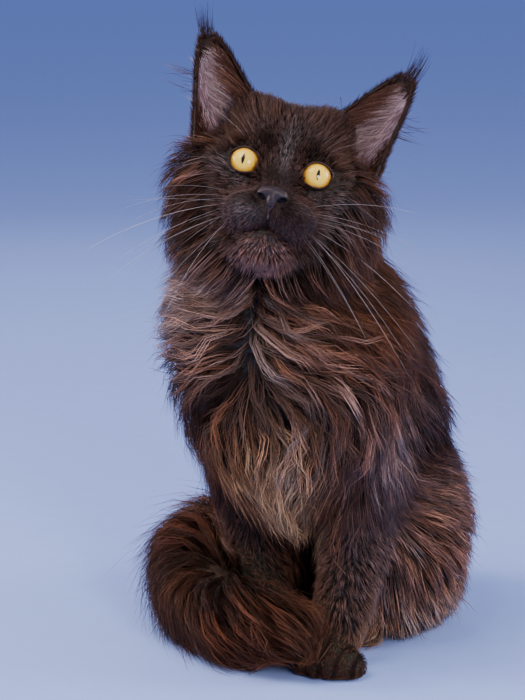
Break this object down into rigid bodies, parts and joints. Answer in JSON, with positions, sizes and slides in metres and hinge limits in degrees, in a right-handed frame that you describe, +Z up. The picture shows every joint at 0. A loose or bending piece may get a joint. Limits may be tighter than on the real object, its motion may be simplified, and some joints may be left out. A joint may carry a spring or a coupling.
{
  "type": "maine coon cat",
  "caption": "Long-haired Maine Coon cat sitting upright with its head turned and tipped and its tail curled round its forepaws, life size.",
  "frame": {"origin": "on the floor, under the middle of the whole cat's box", "axes": "+Z up, the cat's body faces -Y, its left side is +X"},
  "size_m": [0.2514, 0.3124, 0.4735],
  "materials": {
    "coat": "long soft fur, near-black brown with rusty tips",
    "eye": "wet and clear over a yellow-gold iris",
    "nose_leather": "fine-grained and slightly moist"
  },
  "bodies": {
    "root": {"eye_right": "eye", "eye_left": "eye", "head": "coat", "nose": "nose_leather", "ear_right": "coat", "ear_left": "coat", "neck": "coat", "chest": "coat", "haunch_right": "coat", "haunch_left": "coat", "foreleg_right": "coat", "foreleg_left": "coat", "torso": "coat", "forepaw_right": "coat", "forepaw_left": "coat", "hindpaw_right": "coat", "hindpaw_left": "coat", "tail_base": "coat", "tail_middle": "coat", "tail_bend": "coat", "tail_tip": "coat"}
  },
  "joints": []
}
